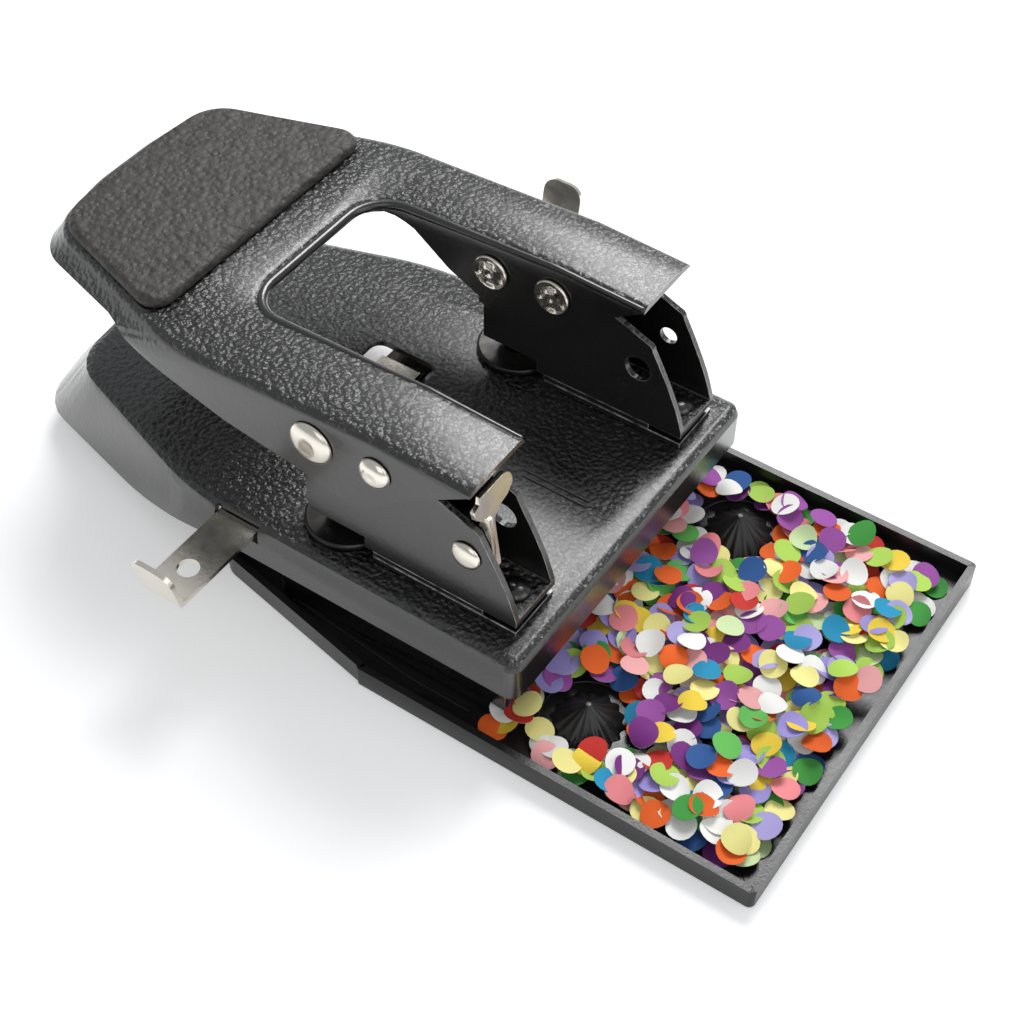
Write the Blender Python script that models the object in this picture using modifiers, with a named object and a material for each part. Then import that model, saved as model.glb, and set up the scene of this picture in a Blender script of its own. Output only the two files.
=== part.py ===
"""Two-hole desk punch with a padded lever handle, a pull-out chip tray and two side guides.

The frame: +X is right seen from the tray side, -Y is the side the tray pulls out of, +Z is up.
The origin is on the underside of the chip tray, straight below the middle of the base's front edge.
Paper goes in from the rear, under the handle.  All driving dimensions are in metres.
"""
import math

import bmesh
import bpy
from mathutils import Matrix, Vector

MM = 0.001
GAP = 0.3 * MM                       # clearance left between touching pieces

# Base pan and the runners under it
BASE_TOP = 29.4 * MM
BASE_SHEET = 1.5 * MM
BASE_UNDERSIDE = BASE_TOP - BASE_SHEET
SKIRT_HIGH = 17.9 * MM               # skirt's lower edge beside the heads
SKIRT_LOW = 8.0 * MM                 # and round the rear
SKIRT_RAMP_Y = (80.0 * MM, 125.0 * MM)
WINDOW_HALF_X = 17.5 * MM
WINDOW_Y = (69.0 * MM, 88.5 * MM)
RUNNER_X = (43.6 * MM, 45.2 * MM)
RUNNER_Y = (6.0 * MM, 71.0 * MM)

# Punch heads
HEAD_X = 34.925 * MM                 # half of 2 3/4 inch
HEAD_HALF_WIDTH = 7.7 * MM
WALL = 1.5 * MM
PUNCH_Y = 57.0 * MM
PUNCH_RADIUS = 3.55 * MM             # 9/32 inch hole
BORE_RADIUS = 3.85 * MM
FOOT = (33.3 * MM, 35.2 * MM)        # the head's foot sheet, bottom and top
HEAD_RIVET_Y = (10.5 * MM, 34.0 * MM)
STOP_PLATE = (29.7 * MM, 31.2 * MM)
SPACER_PLATE = (31.5 * MM, 33.0 * MM)
PAPER_STOP_Y = 44.4 * MM

# Pins: the handle turns on the pivot pins and its drive pins push the punches
PIVOT = (40.2 * MM, 63.5 * MM)
DRIVE = (57.5 * MM, 62.5 * MM)
DRIVE_DOWN = (56.65 * MM, 58.06 * MM)
LATCH_PIVOT = (18.0 * MM, 49.5 * MM)
SHANK_RADIUS = 2.5 * MM
SHANK_BORE = 2.8 * MM

# Handle
HANDLE_SHEET = 1.5 * MM
ARM_INNER = 23.9 * MM
ARM_OUTER = 44.5 * MM
ARM_FRONT = 15.8 * MM
CREASE_Y = 40.0 * MM
HANDLE_TOP = ((15.8 * MM, 71.6 * MM), (40.0 * MM, 72.6 * MM), (90.0 * MM, 70.0 * MM), (160.0 * MM, 69.4 * MM))
HANDLE_WINDOW_REAR = 93.0 * MM
FLARE_Z = 63.4 * MM                  # the rear flanges lean out down to here
PAD_THICKNESS = 2.6 * MM

# Latch, side guides and chip tray
LATCH_SHEET = 1.2 * MM
TONGUE_LEAN = math.radians(7.5)      # the tongue leans back from upright
LATCH_X = -40.9 * MM                 # outer face of its side plate
GUIDE_Y = (73.1 * MM, 84.9 * MM)
GUIDE_SHEET = 1.2 * MM
GUIDE_LENGTH = 91.0 * MM
GUIDE_TAB_HEIGHT = 12.2 * MM
GUIDE_TAB_LEAN = math.radians(12.0)
GUIDE_HOLE_INSET = 9.3 * MM
LEFT_GUIDE_X = -76.0 * MM
RIGHT_GUIDE_X = 88.0 * MM
LEFT_GUIDE_Z = 26.2 * MM
RIGHT_GUIDE_Z = 24.6 * MM
TRAY_HEIGHT = 6.5 * MM
TRAY_WALL = 1.8 * MM
TRAY_FLOOR = 1.5 * MM
CONE_Y = -10.0 * MM
CONE_RADIUS = 8.0 * MM
CONE_TOP = 8.5 * MM


# ---------------------------------------------------------------- scene helpers

def clear_scene():
    for obj in list(bpy.data.objects):
        bpy.data.objects.remove(obj, do_unlink=True)


def collection(name):
    found = bpy.data.collections.get(name)
    if found is None:
        found = bpy.data.collections.new(name)
        bpy.context.scene.collection.children.link(found)
    return found


def material(name, color, roughness, metallic):
    found = bpy.data.materials.get(name)
    if found is None:
        found = bpy.data.materials.new(name)
        found.use_nodes = True
        shader = found.node_tree.nodes["Principled BSDF"]
        shader.inputs["Base Color"].default_value = (*color, 1.0)
        shader.inputs["Roughness"].default_value = roughness
        shader.inputs["Metallic"].default_value = metallic
    return found


def add_object(name, mesh, finish):
    """Links a mesh as one named part of the punch; finish is (material name, colour, roughness, metallic)."""
    obj = bpy.data.objects.new(name, mesh)
    collection("hole_punch").objects.link(obj)
    mesh.materials.clear()
    mesh.materials.append(material(*finish))
    mesh.shade_smooth()
    mesh.set_sharp_from_angle(angle=math.radians(35.0))
    return obj


def mesh_from_bmesh(name, bm):
    mesh = bpy.data.meshes.new(name)
    bm.to_mesh(mesh)
    bm.free()
    return mesh


def as_cutter(mesh, name):
    obj = bpy.data.objects.new(name, mesh)
    collection("cutters").objects.link(obj)
    obj.hide_render = True
    obj.display_type = "WIRE"
    return obj


def combine(obj, other, operation):
    """Adds a live Boolean: DIFFERENCE cuts, UNION joins, INTERSECT keeps what both fill."""
    boolean = obj.modifiers.new(operation.lower(), "BOOLEAN")
    boolean.operation = operation
    boolean.solver = "EXACT"
    boolean.object = other


def cut(obj, mesh, label):
    combine(obj, as_cutter(mesh, obj.name + "_" + label), "DIFFERENCE")


def join(obj, mesh, label):
    combine(obj, as_cutter(mesh, obj.name + "_" + label), "UNION")


# ---------------------------------------------------------------- shape helpers

def box_mesh(low, high):
    bm = bmesh.new()
    size = [b - a for a, b in zip(low, high)]
    centre = [(a + b) / 2 for a, b in zip(low, high)]
    place = Matrix.Translation(centre) @ Matrix.Diagonal((*size, 1.0))
    bmesh.ops.create_cube(bm, size=1.0, matrix=place)
    return mesh_from_bmesh("box", bm)


def cylinder_mesh(start, end, radius, segments=32, end_radius=None):
    """A cylinder or cone between two points."""
    start, end = Vector(start), Vector(end)
    along = end - start
    turn = along.to_track_quat("Z", "Y").to_matrix().to_4x4()
    place = Matrix.Translation((start + end) / 2) @ turn
    tip = radius if end_radius is None else end_radius
    bm = bmesh.new()
    bmesh.ops.create_cone(bm, cap_ends=True, segments=segments, radius1=radius, radius2=tip,
                          depth=along.length, matrix=place)
    return mesh_from_bmesh("cylinder", bm)


def outline_mesh(points, thickness, place, hole=None):
    """A flat outline, filled on both sides and extruded evenly about its plane, then placed."""
    curve = bpy.data.curves.new("outline", "CURVE")
    curve.dimensions = "2D"
    curve.fill_mode = "BOTH"
    curve.extrude = thickness / 2
    for loop in [points] + ([hole] if hole else []):
        spline = curve.splines.new("POLY")
        spline.points.add(len(loop) - 1)
        for point, (u, v) in zip(spline.points, loop):
            point.co = (u, v, 0.0, 1.0)
        spline.use_cyclic_u = True
    obj = bpy.data.objects.new("outline", curve)
    bpy.context.scene.collection.objects.link(obj)
    obj.matrix_world = place
    bpy.context.view_layer.update()
    evaluated = obj.evaluated_get(bpy.context.evaluated_depsgraph_get())
    mesh = bpy.data.meshes.new_from_object(evaluated)
    mesh.transform(place)
    bpy.data.objects.remove(obj, do_unlink=True)
    bm = bmesh.new()
    bm.from_mesh(mesh)
    bmesh.ops.remove_doubles(bm, verts=bm.verts, dist=1e-6)
    bmesh.ops.recalc_face_normals(bm, faces=bm.faces)
    bm.to_mesh(mesh)
    bm.free()
    return mesh


def across_x(middle_x):
    """Places an outline drawn as (y, z) in the plane x = middle_x."""
    return Matrix(((0, 0, 1, middle_x), (1, 0, 0, 0), (0, 1, 0, 0), (0, 0, 0, 1)))


def across_y(middle_y):
    """Places an outline drawn as (x, z) in the plane y = middle_y."""
    return Matrix(((1, 0, 0, 0), (0, 0, -1, middle_y), (0, 1, 0, 0), (0, 0, 0, 1)))


def across_z(middle_z):
    return Matrix.Translation((0, 0, middle_z))


def arc(centre, radius, start_deg, end_deg, steps):
    points = []
    for i in range(steps + 1):
        angle = math.radians(start_deg + (end_deg - start_deg) * i / steps)
        points.append((centre[0] + radius * math.cos(angle), centre[1] + radius * math.sin(angle)))
    return points


def smooth_through(points, steps):
    """A Catmull-Rom curve through the given points."""
    ends = [points[0]] + list(points) + [points[-1]]
    curve = []
    for a, b, c, d in zip(ends, ends[1:], ends[2:], ends[3:]):
        for i in range(steps):
            t = i / steps
            curve.append(tuple(0.5 * (2 * q + (r - p) * t + (2 * p - 5 * q + 4 * r - s) * t * t
                                      + (3 * q - p - 3 * r + s) * t ** 3) for p, q, r, s in zip(a, b, c, d)))
    curve.append(points[-1])
    return curve


def inset(loop, distance):
    """Moves a counter-clockwise loop inwards by a distance."""
    moved = []
    for i, here in enumerate(loop):
        before, after = Vector(loop[i - 1]), Vector(loop[(i + 1) % len(loop)])
        here = Vector(here)
        first = (here - before).normalized()
        second = (after - here).normalized()
        normal = Vector((-first.y - second.y, first.x + second.x)).normalized()
        spread = max(0.5, normal.dot(Vector((-first.y, first.x))))
        moved.append(tuple(here + normal * distance / spread))
    return moved


def mirrored_loop(right_side):
    """Completes a front-to-rear right side to a counter-clockwise loop, symmetric about x = 0."""
    left_side = [(-x, y) for x, y in reversed(right_side) if x > 1e-6]
    return list(right_side) + left_side


def loft(rings, cap_first, cap_last):
    """Joins rings of equally many points, each a list of (x, y, z), with quads."""
    bm = bmesh.new()
    layers = [[bm.verts.new(point) for point in ring] for ring in rings]
    count = len(rings[0])
    for lower, upper in zip(layers, layers[1:]):
        for i in range(count):
            j = (i + 1) % count
            bm.faces.new((lower[i], lower[j], upper[j], upper[i]))
    if cap_first:
        bm.faces.new(layers[0])
    if cap_last:
        bm.faces.new(layers[-1])
    bmesh.ops.recalc_face_normals(bm, faces=bm.faces)
    return mesh_from_bmesh("loft", bm)


def level(loop, z):
    return [(x, y, z) for x, y in loop]


def turned(name, profile, place, finish, steps=32):
    """A turned piece: the profile (radius, height) runs from the top down and spins about Z."""
    mesh = bpy.data.meshes.new(name)
    edges = [(i, i + 1) for i in range(len(profile) - 1)]
    mesh.from_pydata([(r, 0.0, h) for r, h in profile], edges, [])
    obj = add_object(name, mesh, finish)
    screw = obj.modifiers.new("turn", "SCREW")
    screw.steps = steps
    screw.render_steps = steps
    screw.use_merge_vertices = True
    screw.merge_threshold = 0.00002
    screw.use_smooth_shade = True
    obj.matrix_world = place
    return obj


def upright(x, y, low, high, radius, segments=32):
    return cylinder_mesh((x, y, low), (x, y, high), radius, segments)


def along_x(middle, length, y, z, radius, segments=24):
    return cylinder_mesh((middle - length / 2, y, z), (middle + length / 2, y, z), radius, segments)


def side_name(side):
    return "left" if side < 0 else "right"


# ---------------------------------------------------------------- finishes

BLACK_PAINT = ("black_wrinkle_paint", (0.02, 0.02, 0.02), 0.4, 0.3)
BLACK_SMOOTH = ("black_smooth_paint", (0.02, 0.02, 0.02), 0.3, 0.3)
BLACK_RUBBER = ("black_rubber", (0.025, 0.025, 0.025), 0.75, 0.0)
TRAY_PLASTIC = ("black_plastic", (0.015, 0.015, 0.015), 0.35, 0.0)
NICKEL = ("nickel_plate", (0.8, 0.77, 0.7), 0.25, 1.0)
TOOL_STEEL = ("tool_steel", (0.5, 0.5, 0.5), 0.3, 1.0)


# ---------------------------------------------------------------- base

def fillet(points, steps=6):
    """Rounds the corners of an open outline of (x, y, radius); the two ends stay as they are."""
    rounded = [points[0][:2]]
    for before, here, after in zip(points, points[1:], points[2:]):
        corner = Vector(here[:2])
        back = (Vector(before[:2]) - corner).normalized()
        ahead = (Vector(after[:2]) - corner).normalized()
        half = back.angle(ahead) / 2
        reach = here[2] / math.tan(half)
        middle = corner + (back + ahead).normalized() * (here[2] / math.sin(half))
        first = corner + back * reach - middle
        last = corner + ahead * reach - middle
        for i in range(steps + 1):
            step = first.lerp(last, i / steps).normalized() * here[2]
            rounded.append(tuple(middle + step))
    rounded.append(points[-1][:2])
    return rounded


def scaled(points):
    return [tuple(value * MM for value in point) for point in points]


def base_side(bottom):
    """Right side of the pan seen from above, front to rear; the skirt flares out towards the rear."""
    if bottom:
        corners = [(0, 0, 0), (50.1, 0, 3.4), (50.1, 95, 80), (33.5, 160, 14), (12, 164.8, 30), (0, 165, 0)]
    else:
        corners = [(0, 0, 0), (50.1, 0, 3.4), (50.1, 93, 80), (32.5, 146.5, 14), (10, 148.9, 30), (0, 149, 0)]
    side = fillet(scaled(corners), 8)[1:]
    return side[:10] + evenly(side[9:], 30)[1:]


def evenly(points, count):
    """The same line with its points at even distances."""
    runs = [0.0]
    for here, after in zip(points, points[1:]):
        runs.append(runs[-1] + math.dist(here, after))
    spaced = []
    k = 0
    for i in range(count):
        at = runs[-1] * i / (count - 1)
        while k < len(points) - 2 and runs[k + 1] < at:
            k += 1
        t = (at - runs[k]) / (runs[k + 1] - runs[k])
        spaced.append(tuple(a + (b - a) * t for a, b in zip(points[k], points[k + 1])))
    return spaced


def skirt_bottom(y):
    """The skirt's lower edge comes down in a smooth ramp from the heads to the rear."""
    start, end = SKIRT_RAMP_Y
    t = min(1.0, max(0.0, (y - start) / (end - start)))
    return SKIRT_HIGH + (SKIRT_LOW - SKIRT_HIGH) * (1 - math.cos(math.pi * t)) / 2


def base_pan():
    upper = mirrored_loop(base_side(False))
    lower = mirrored_loop(base_side(True))
    rings = [level(inset(upper, 2.4 * MM), BASE_TOP), level(inset(upper, 0.7 * MM), BASE_TOP - 0.7 * MM),
             level(upper, BASE_TOP - 2.4 * MM), [(x, y, skirt_bottom(y)) for x, y in lower]]
    obj = add_object("base_pan", loft(rings, True, False), BLACK_PAINT)
    shell = obj.modifiers.new("sheet", "SOLIDIFY")
    shell.thickness = BASE_SHEET
    shell.offset = -1.0
    shell.use_even_offset = True
    radius = 3.0 * MM
    window = []
    for cx, cy, start in ((1, 1, 0), (-1, 1, 90), (-1, 0, 180), (1, 0, 270)):
        centre = (cx * (WINDOW_HALF_X - radius), WINDOW_Y[cy] + (radius if cy == 0 else -radius))
        window += arc(centre, radius, start, start + 90, 4)
    cut(obj, outline_mesh(window, 12 * MM, across_z(BASE_TOP)), "window")
    for side in (-1, 1):
        x = side * HEAD_X
        ends = sorted((side * 48.3 * MM, side * 56 * MM))
        notch = box_mesh((ends[0], 72.5 * MM, 24.0 * MM), (ends[1], 85.5 * MM, 33 * MM))
        cut(obj, notch, "notch_" + side_name(side))
        ends = sorted((side * 45.5 * MM, side * 56 * MM))
        under = box_mesh((ends[0], 72.5 * MM, 24.0 * MM), (ends[1], 85.5 * MM, BASE_UNDERSIDE))
        cut(obj, under, "guide_way_" + side_name(side))
        cut(obj, upright(x, PUNCH_Y, 20 * MM, 40 * MM, 6.0 * MM), "die_" + side_name(side))
        for i, y in enumerate(HEAD_RIVET_Y):
            cut(obj, upright(x, y, 20 * MM, 40 * MM, 2.3 * MM, 20), "rivet_%s_%d" % (side_name(side), i))
    return obj


def runners():
    for side in (-1, 1):
        ends = sorted((side * RUNNER_X[0], side * RUNNER_X[1]))
        low = (ends[0], RUNNER_Y[0], TRAY_FLOOR + GAP + 0.5 * MM)
        high = (ends[1], RUNNER_Y[1], BASE_UNDERSIDE - GAP)
        add_object("runner_" + side_name(side), box_mesh(low, high), BLACK_SMOOTH)


# ---------------------------------------------------------------- punch heads

def head_side():
    """Side of a head as (y, z), counter-clockwise from its lower front corner."""
    points = [(5.0, 33.3), (46.3, 33.3), (46.3, 36.8), (62.3, 36.8), (62.3, 62.5), (47.0, 66.2), (44.2, 68.0),
              (40.2, 68.6), (36.4, 68.0), (34.0, 66.6), (25.2, 62.2), (15.0, 58.0), (14.4, 57.2)]
    front = smooth_through([(14.4, 56.8), (10.6, 49.5), (7.2, 42.0), (5.0, 35.2)], 5)
    return scaled(points + front)


def channel_side():
    """What is taken out between the two walls: everything above the foot sheet and the raised web."""
    points = [(0, 35.2), (44.8, 35.2), (44.8, 38.6), (70, 38.6), (70, 80), (0, 80)]
    return scaled(points)


def heads():
    for side in (-1, 1):
        label, x = side_name(side), side * HEAD_X
        obj = add_object("head_bracket_" + label,
                         outline_mesh(head_side(), 2 * HEAD_HALF_WIDTH, across_x(x)), BLACK_PAINT)
        inside = HEAD_HALF_WIDTH - WALL
        cut(obj, outline_mesh(channel_side(), 2 * inside, across_x(x)), "channel")
        cut(obj, along_x(x, 20 * MM, *PIVOT, SHANK_BORE), "pivot_hole")
        cut(obj, outline_mesh(drive_slot(), 20 * MM, across_x(x)), "drive_slot")
        outer = x + side * (HEAD_HALF_WIDTH - WALL / 2)
        inner = x - side * (HEAD_HALF_WIDTH - WALL / 2)
        cut(obj, along_x(outer, 4 * MM, *LATCH_PIVOT, 2.3 * MM), "latch_hole")
        cut(obj, along_x(inner, 4 * MM, *LATCH_PIVOT, 3.5 * MM), "access_hole")
        cut(obj, upright(x, PUNCH_Y, 35 * MM, 40 * MM, 5.5 * MM), "guide_hole")
        for i, y in enumerate(HEAD_RIVET_Y):
            cut(obj, upright(x, y, 30 * MM, 36 * MM, 2.3 * MM, 20), "rivet_%d" % i)


def drive_slot():
    """Slot that the drive pin travels down as the handle is pressed."""
    radius = 2.9 * MM
    high, low = DRIVE, DRIVE_DOWN
    return arc(high, radius, 0, 180, 8) + arc(low, radius, 180, 360, 8)


def foot_plates():
    """Each head stands on two plates; their rear edges are the paper's stop."""
    for side in (-1, 1):
        label, x = side_name(side), side * HEAD_X
        half = 7.5 * MM
        for name, front, heights in (("stop_plate_", 5.2 * MM, STOP_PLATE),
                                     ("spacer_plate_", 14.0 * MM, SPACER_PLATE)):
            mesh = box_mesh((x - half, front, heights[0]), (x + half, PAPER_STOP_Y, heights[1]))
            obj = add_object(name + label, mesh, BLACK_SMOOTH)
            if name == "stop_plate_":
                holes = HEAD_RIVET_Y
            else:
                holes = HEAD_RIVET_Y[1:]
            for i, y in enumerate(holes):
                cut(obj, upright(x, y, 25 * MM, 36 * MM, 2.3 * MM, 20), "rivet_%d" % i)


def dies():
    for side in (-1, 1):
        top, lip, foot = STOP_PLATE[1], STOP_PLATE[0], 24.0 * MM
        profile = [(BORE_RADIUS, top), (10.1 * MM, top), (10.5 * MM, top - 0.4 * MM), (10.5 * MM, lip),
                   (5.7 * MM, lip), (5.7 * MM, foot), (BORE_RADIUS, foot), (BORE_RADIUS, top)]
        place = Matrix.Translation((side * HEAD_X, PUNCH_Y, 0))
        turned("die_" + side_name(side), profile, place, TOOL_STEEL, 40)
        low, high = 34.4 * MM, 46.0 * MM
        tube = [(BORE_RADIUS, high), (5.2 * MM, high), (5.2 * MM, low), (BORE_RADIUS, low),
                (BORE_RADIUS, high)]
        turned("punch_guide_" + side_name(side), tube, place, TOOL_STEEL, 28)


def head_rivets():
    for side in (-1, 1):
        for where, y in zip(("front", "rear"), HEAD_RIVET_Y):
            top, bottom = FOOT[1] + GAP, BASE_UNDERSIDE - GAP
            dome = [(3.6 * MM * math.sin(a), top + 1.7 * MM * math.cos(a))
                    for a in (math.pi / 2 * i / 6 for i in range(7))]
            tail = 3.4 * MM
            profile = [(0, dome[0][1])] + dome[1:] + [(2.0 * MM, top), (2.0 * MM, bottom), (tail, bottom),
                                                      (tail, bottom - 1.6 * MM), (0, bottom - 1.6 * MM)]
            turned("head_rivet_%s_%s" % (where, side_name(side)), profile,
                   Matrix.Translation((side * HEAD_X, y, 0)), BLACK_SMOOTH, 20)


# ---------------------------------------------------------------- punches

PUNCH_TIP = 34.7 * MM
PUNCH_SHOULDER = 57.5 * MM
PUNCH_TOP = 67.0 * MM
SPRING_RADIUS = 4.6 * MM
SPRING_WIRE = 0.5 * MM
SPRING_TURNS = 6


def punches():
    for side in (-1, 1):
        label, x = side_name(side), side * HEAD_X
        profile = [(0, PUNCH_TOP), (4.5 * MM, PUNCH_TOP), (5.0 * MM, PUNCH_TOP - 0.5 * MM),
                   (5.0 * MM, PUNCH_SHOULDER), (PUNCH_RADIUS, PUNCH_SHOULDER), (PUNCH_RADIUS, PUNCH_TIP),
                   (2.6 * MM, PUNCH_TIP), (0, PUNCH_TIP + 1.2 * MM)]
        obj = turned("punch_" + label, profile, Matrix.Translation((x, PUNCH_Y, 0)), TOOL_STEEL, 28)
        cut(obj, along_x(x, 20 * MM, PUNCH_Y, DRIVE[1], 3.4 * MM), "cross_hole")
        return_spring("return_spring_" + label, x)


def return_spring(name, x):
    """Compression coil round the punch, with a closed turn at each end."""
    low = 46.3 * MM + SPRING_WIRE
    high = 57.2 * MM - SPRING_WIRE
    steps = 14
    count = SPRING_TURNS * steps
    curve = bpy.data.curves.new(name, "CURVE")
    curve.dimensions = "3D"
    curve.bevel_depth = SPRING_WIRE
    curve.bevel_resolution = 2
    curve.use_fill_caps = True
    spline = curve.splines.new("POLY")
    spline.points.add(count)
    end = 2.3 * SPRING_WIRE / (high - low)
    for i, point in enumerate(spline.points):
        turn = i / steps
        if turn <= 1:
            rise = end * turn
        elif turn >= SPRING_TURNS - 1:
            rise = 1 - end * (SPRING_TURNS - turn)
        else:
            rise = end + (1 - 2 * end) * (turn - 1) / (SPRING_TURNS - 2)
        angle = 2 * math.pi * turn
        point.co = (SPRING_RADIUS * math.cos(angle), SPRING_RADIUS * math.sin(angle),
                    low + (high - low) * rise, 1.0)
    obj = bpy.data.objects.new(name, curve)
    bpy.context.scene.collection.objects.link(obj)
    bpy.context.view_layer.update()
    mesh = bpy.data.meshes.new_from_object(obj.evaluated_get(bpy.context.evaluated_depsgraph_get()))
    bpy.data.objects.remove(obj, do_unlink=True)
    bm = bmesh.new()
    bm.from_mesh(mesh)
    bmesh.ops.remove_doubles(bm, verts=bm.verts, dist=1e-6)
    bmesh.ops.recalc_face_normals(bm, faces=bm.faces)
    bm.to_mesh(mesh)
    bm.free()
    spring = add_object(name, mesh, TOOL_STEEL)
    spring.location = (x, PUNCH_Y, 0)


# ---------------------------------------------------------------- handle

HANDLE_UPPER = ((44.5, 15.8, 0), (44.5, 98, 60), (28.5, 148, 13), (9, 151.3, 35), (0, 151.3, 0))
HANDLE_LOWER = ((44.5, 15.8, 0), (44.5, 110, 60), (32.5, 150, 14), (10, 154.5, 35), (0, 154.5, 0))


def handle_side(corners):
    """Right side of the handle seen from above, front to rear."""
    side = fillet(scaled(corners), 8)
    return side[:1] + [(ARM_OUTER, CREASE_Y), (ARM_OUTER, 60 * MM)] + side[1:]


def handle_loop(corners, shrink, front):
    """The whole U-shaped outline; shrink moves every edge but the front inwards by the sheet."""
    right = handle_side(corners)
    whole = mirrored_loop(right)
    moved = inset(whole, shrink) if shrink else whole
    outer = [(x, max(y, front)) for x, y in moved[:len(right)]]
    outer[0] = (ARM_OUTER - shrink, front)
    outer[-1] = (0.0, outer[-1][1])
    half = ARM_INNER + shrink
    rear = HANDLE_WINDOW_REAR + shrink
    radius = 10.0 * MM + shrink
    window = [(-half, front), (-half, CREASE_Y)]
    window += arc((-half + radius, rear - radius), radius, 180, 90, 6)
    window += arc((half - radius, rear - radius), radius, 90, 0, 6)
    window += [(half, CREASE_Y), (half, front)]
    return mirrored_loop(outer) + window


def top_height(y):
    """Height of the handle's top sheet, from the straight runs of its side view."""
    for (y0, z0), (y1, z1) in zip(HANDLE_TOP, HANDLE_TOP[1:]):
        if y <= y1 or y1 == HANDLE_TOP[-1][0]:
            return z0 + (z1 - z0) * (y - y0) / (y1 - y0)


def handle_layers(shrink, front, drop, bottom, rounding):
    """A solid with the handle's outline, its upper edges rounded in steps."""
    flared = handle_loop(HANDLE_LOWER, shrink, front)
    rings = [level(flared, bottom), level(flared, FLARE_Z)]
    for i in range(4):
        angle = math.pi / 2 * i / 3
        inward = rounding * (1 - math.cos(angle))
        sink = rounding * (1 - math.sin(angle))
        rings.append([(x, y, top_height(y) - drop - sink) for x, y in
                      handle_loop(HANDLE_UPPER, shrink + inward, front)])
    mesh = loft(rings, True, True)
    bm = bmesh.new()
    bm.from_mesh(mesh)
    bmesh.ops.triangulate(bm, faces=[face for face in bm.faces if len(face.verts) > 4])
    bm.to_mesh(mesh)
    bm.free()
    return mesh


OUTER_EDGE = ((15.0, 70.2), (16.8, 69.7), (23.8, 65.1), (35.6, 57.0), (42.5, 50.5), (46.8, 48.0),
              (52.0, 48.9), (60.4, 51.0), (72.0, 52.7), (83.3, 54.4), (94.9, 57.7), (106.5, 61.3),
              (116.6, 64.3), (120.0, 64.8), (170.0, 63.6))


def handle():
    obj = add_object("handle_frame", handle_layers(0.0, ARM_FRONT, 0.0, 40 * MM, 2.2 * MM), BLACK_PAINT)
    inner = handle_layers(HANDLE_SHEET, -5 * MM, HANDLE_SHEET, 30 * MM, 1.0 * MM)
    cut(obj, inner, "inside")
    below = scaled([(10, 20), (175, 20), (175, 63.5)]) + scaled(reversed(OUTER_EDGE)) + scaled([(10, 73)])
    cut(obj, outline_mesh(below, 140 * MM, across_x(0)), "flange_edge")
    trim = scaled([(61.2, 52.8), (61.2, 40), (101, 40), (101, 67.2), (88, 67.2), (80.2, 64.6), (70, 57)])
    cut(obj, outline_mesh(trim, 60 * MM, across_x(0)), "inner_flange_edge")
    for label, (y, z) in (("pivot", PIVOT), ("drive", DRIVE)):
        cut(obj, along_x(0, 120 * MM, y, z, SHANK_BORE), label + "_holes")


def handle_pad():
    """Soft pad on the handle's rear."""
    corners = scaled([(0, 105.5, 0), (40, 105.5, 5), (27.5, 146, 11), (9, 147.8, 30), (0, 147.8, 0)])
    loop = mirrored_loop(fillet(corners, 6))[1:]

    def ring(distance, rise):
        return [(x, y, top_height(y) + GAP + rise) for x, y in inset(loop, distance)]

    rings = [ring(0.0, 0.0), ring(0.0, PAD_THICKNESS - 1.2 * MM), ring(0.5 * MM, PAD_THICKNESS - 0.4 * MM),
             ring(1.6 * MM, PAD_THICKNESS)]
    add_object("handle_pad", loft(rings, True, True), BLACK_RUBBER)


def facing(side, y, z):
    """Places a turned piece with its top facing outwards along X."""
    return Matrix.Translation((0, y, z)) @ Matrix.Rotation(side * math.pi / 2, 4, "Y")


def half_dome(radius, height, outside):
    return [(radius * math.sin(a), outside + height * math.cos(a))
            for a in (math.pi / 2 * i / 7 for i in range(8))]


def handle_pins():
    """Each pin: a domed head outside, a shank through both flanges and the head, and a crimped tail."""
    outside, inside = ARM_OUTER + GAP, ARM_INNER - GAP
    for side in (-1, 1):
        for name, (y, z), radius in (("drive_pin_", DRIVE, 5.6 * MM), ("pivot_pin_", PIVOT, 4.0 * MM)):
            dome = half_dome(radius, 2.2 * MM, outside)
            tail = 4.7 * MM
            profile = [(0, dome[0][1])] + dome[1:] + [
                (SHANK_RADIUS, outside), (SHANK_RADIUS, inside), (tail, inside), (tail, inside - 0.5 * MM),
                (3.2 * MM, inside - 1.2 * MM), (0, inside - 1.2 * MM)]
            turned(name + side_name(side), profile, facing(side, y, z), NICKEL, 28)


# ---------------------------------------------------------------- latch

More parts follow.
